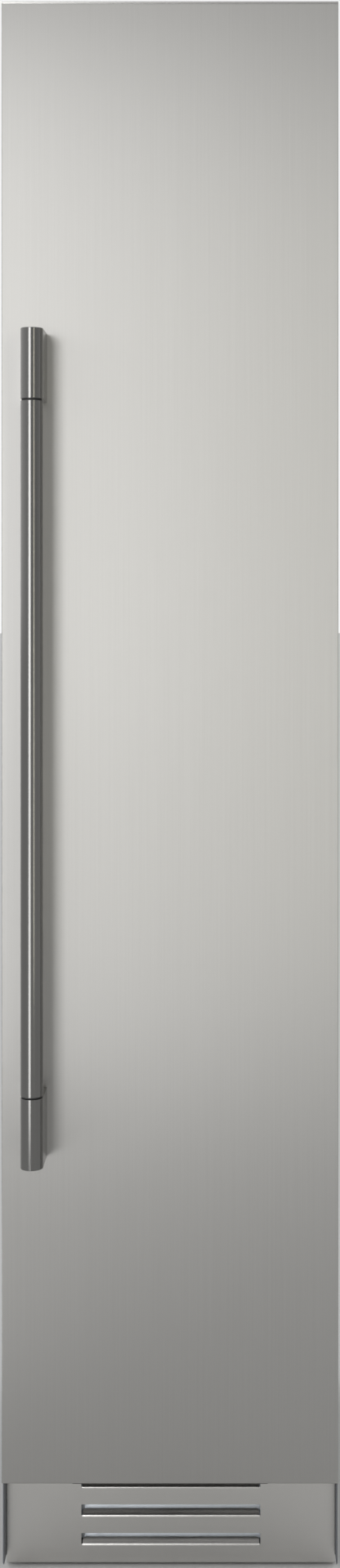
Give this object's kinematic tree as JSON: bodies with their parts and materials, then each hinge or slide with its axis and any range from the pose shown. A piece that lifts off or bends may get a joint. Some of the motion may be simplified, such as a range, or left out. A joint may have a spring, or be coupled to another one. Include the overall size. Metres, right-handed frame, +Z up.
{
  "type": "column freezer",
  "caption": "Tall built-in column freezer with a full-height stainless door hinged at the right, long bar handle, louvred kick plate, shelves, drawers and cooling gear",
  "frame": {"origin": "on the floor, under the middle of the whole object, handle included", "axes": "+Z up, -Y out of the door's front, +X to the viewer's right, where the door is hinged"},
  "size_m": [0.455, 0.6736, 2.134],
  "materials": {
    "stainless": "fine vertical brushed grain",
    "galvanised": "zinc coated sheet",
    "painted_case": "satin grey paint",
    "foam": "rigid foam",
    "white_plastic": "smooth moulded plastic",
    "grey_plastic": "moulded plastic",
    "clear_plastic": "clear moulded plastic",
    "shelf_glass": "tempered glass",
    "gasket_rubber": "soft matt",
    "black_plastic": "matt black",
    "black_steel": "black paint",
    "aluminium": "bare fins",
    "copper": "bare copper tube",
    "lamp": "diffusing lens"
  },
  "bodies": {
    "cabinet": {"upper_hinge_bracket": "galvanised", "lower_hinge_bracket": "galvanised", "case_left_side": "painted_case", "case_right_side": "painted_case", "case_top": "painted_case", "case_back": "galvanised", "case_floor": "galvanised", "foam_core": "foam", "inner_liner": "white_plastic", "machine_cover": "galvanised", "base_pan": "galvanised", "kick_plate": "stainless", "kick_baffle": "galvanised", "left_roller_bracket": "galvanised", "right_roller_bracket": "galvanised", "compressor": "black_steel", "condenser_coil": "copper", "condenser_fan_shroud": "black_plastic", "condenser_fan_motor": "black_steel", "drain_pan": "black_plastic", "filter_drier": "copper", "electronics_box": "grey_plastic", "power_inlet": "black_plastic", "evaporator_cover": "white_plastic", "evaporator_coil": "aluminium", "evaporator_fan_motor": "black_steel", "glass_shelf_1": "shelf_glass", "glass_shelf_2": "shelf_glass", "glass_shelf_3": "shelf_glass", "glass_shelf_4": "shelf_glass", "light_bar_left": "lamp", "light_bar_right": "lamp", "control_panel": "white_plastic", "display_lens": "black_plastic"},
    "door": {"door_panel": "stainless", "door_top_cap": "stainless", "door_body": "white_plastic", "door_liner": "white_plastic", "door_gasket": "gasket_rubber", "door_bin_lower": "clear_plastic", "door_bin_middle": "clear_plastic", "door_bin_upper": "clear_plastic", "handle_upper_block": "stainless", "handle_lower_block": "stainless", "handle_bar": "stainless", "handle_lower_ring": "black_plastic", "handle_upper_ring": "black_plastic", "handle_upper_stud": "galvanised", "handle_lower_stud": "galvanised", "door_lower_bush": "black_plastic", "door_upper_bush": "black_plastic"},
    "lower_drawer": {"lower_drawer": "clear_plastic"},
    "middle_drawer": {"middle_drawer": "clear_plastic"},
    "upper_drawer": {"upper_drawer": "clear_plastic"},
    "left_leg": {"left_leg": "grey_plastic"},
    "right_leg": {"right_leg": "grey_plastic"},
    "left_roller": {"left_roller": "black_plastic"},
    "right_roller": {"right_roller": "black_plastic"},
    "condenser_fan": {"condenser_fan": "grey_plastic"},
    "evaporator_fan": {"evaporator_fan": "grey_plastic"}
  },
  "joints": [
    {"name": "door_hinge", "type": "hinge", "parent": "cabinet", "child": "door", "pos_m": [0.213, -0.24025, 0.16], "axis": [0, 0, 1], "range_deg": [0, 105]},
    {"name": "lower_drawer_slide", "type": "slide", "parent": "cabinet", "child": "lower_drawer", "axis": [0, -1, 0], "range_m": [0, 0.078]},
    {"name": "middle_drawer_slide", "type": "slide", "parent": "cabinet", "child": "middle_drawer", "axis": [0, -1, 0], "range_m": [0, 0.078]},
    {"name": "upper_drawer_slide", "type": "slide", "parent": "cabinet", "child": "upper_drawer", "axis": [0, -1, 0], "range_m": [0, 0.078]},
    {"name": "left_leg_turn", "type": "hinge", "parent": "cabinet", "child": "left_leg", "pos_m": [-0.182, -0.14825, 0.014], "axis": [0, 0, 1], "continuous": true},
    {"name": "right_leg_turn", "type": "hinge", "parent": "cabinet", "child": "right_leg", "pos_m": [0.182, -0.14825, 0.014], "axis": [0, 0, 1], "continuous": true},
    {"name": "left_roller_spin", "type": "hinge", "parent": "cabinet", "child": "left_roller", "pos_m": [-0.182, 0.27675, 0.022], "axis": [1, 0, 0], "continuous": true},
    {"name": "right_roller_spin", "type": "hinge", "parent": "cabinet", "child": "right_roller", "pos_m": [0.182, 0.27675, 0.022], "axis": [1, 0, 0], "continuous": true},
    {"name": "condenser_fan_spin", "type": "hinge", "parent": "cabinet", "child": "condenser_fan", "pos_m": [-0.0482, 0.23175, 0.0858], "axis": [1, 0, 0], "continuous": true},
    {"name": "evaporator_fan_spin", "type": "hinge", "parent": "cabinet", "child": "evaporator_fan", "pos_m": [0, 0.23495, 0.886], "axis": [0, 1, 0], "continuous": true}
  ]
}
